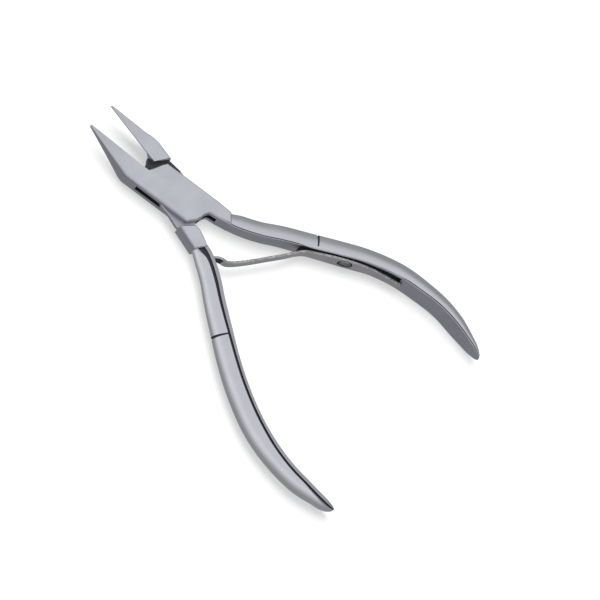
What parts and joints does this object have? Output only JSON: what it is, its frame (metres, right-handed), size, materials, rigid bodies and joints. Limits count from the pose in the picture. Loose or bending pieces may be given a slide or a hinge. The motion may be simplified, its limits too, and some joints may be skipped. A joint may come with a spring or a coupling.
{
  "type": "box-joint nippers",
  "caption": "Box-joint hand nippers with narrow pointed jaws, curved D-section handles and a leaf return spring.",
  "frame": {"origin": "on the pivot axis, at the underside of the box, where the pin is ground flush", "axes": "+X from the jaws to the handles, +Y towards the handle that carries the spring, +Z along the pivot axis"},
  "size_m": [0.1243, 0.0776, 0.008],
  "materials": {
    "satin_steel": "satin flats on the box and jaws, polished handles",
    "pin_steel": "ground flush and satin",
    "spring_steel": "drawn, slightly warm grey",
    "screw_steel": "polished"
  },
  "bodies": {
    "box_side": {"box_half": "satin_steel", "pivot_pin": "pin_steel", "leaf_spring": "spring_steel", "spring_screw": "screw_steel"},
    "tongue_side": {"tongue_half": "satin_steel"}
  },
  "joints": [
    {"name": "jaw_pivot", "type": "hinge", "parent": "box_side", "child": "tongue_side", "pos_m": [0, 0, 0.00275], "axis": [0, 0, 1], "range_deg": [0, 15], "stiffness_Nm_per_rad": 0.6, "springref_deg": -11.46, "deforming": ["leaf_spring"]}
  ]
}
